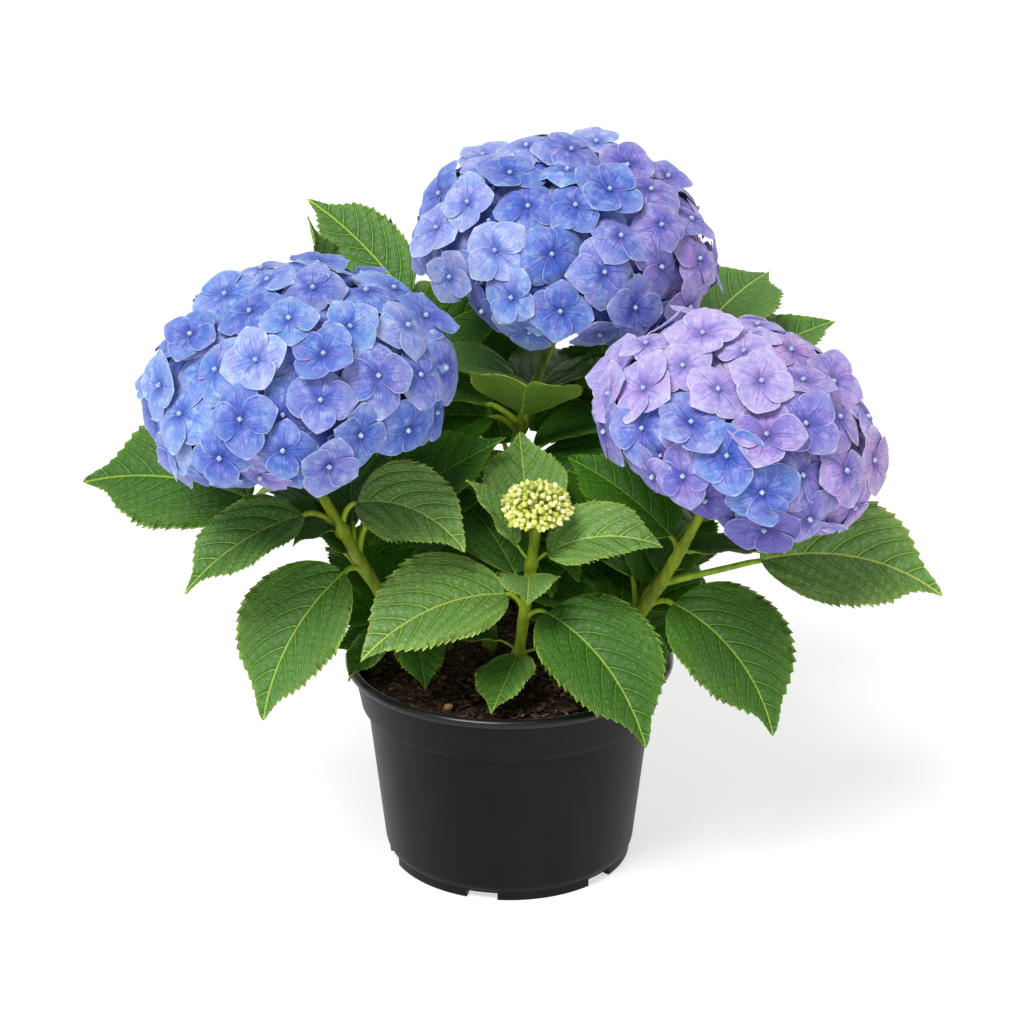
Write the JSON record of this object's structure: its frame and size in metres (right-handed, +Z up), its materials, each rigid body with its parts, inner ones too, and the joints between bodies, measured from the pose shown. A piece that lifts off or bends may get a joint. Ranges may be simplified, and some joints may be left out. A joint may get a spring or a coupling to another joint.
{
  "type": "potted hydrangea shrub",
  "caption": "Mophead hydrangea shrub in a round plastic nursery pot, with domed blue and lilac flower heads, a cluster of green buds and broad toothed leaves.",
  "frame": {"origin": "the middle of the pot's underside, on the surface that the pot stands on", "axes": "+Z up along the pot's axis; -Y towards the front, where the short bud shoot stands between the two lower flower heads; +X to the right seen from the front"},
  "size_m": [0.4886, 0.3518, 0.4046],
  "materials": {
    "pot": "satin",
    "soil": "matte",
    "stem": "satin",
    "leaves": "satin",
    "petal_blue": "matte",
    "petal_violet": "matte",
    "petal_lilac": "matte",
    "bud": "matte"
  },
  "bodies": {
    "root": {"pot": "pot", "soil": "soil", "stem_front": "stem", "stem_left": "stem", "stem_right": "stem", "stem_centre": "stem", "stem_back_left": "stem", "stem_back_right": "stem", "leaves_front": "leaves", "leaves_left": "leaves", "leaves_right": "leaves", "leaves_centre": "leaves", "leaves_back_left": "leaves", "leaves_back_right": "leaves", "head_left": "petal_blue", "head_centre": "petal_violet", "head_right": "petal_lilac", "head_buds": "bud"}
  },
  "joints": []
}
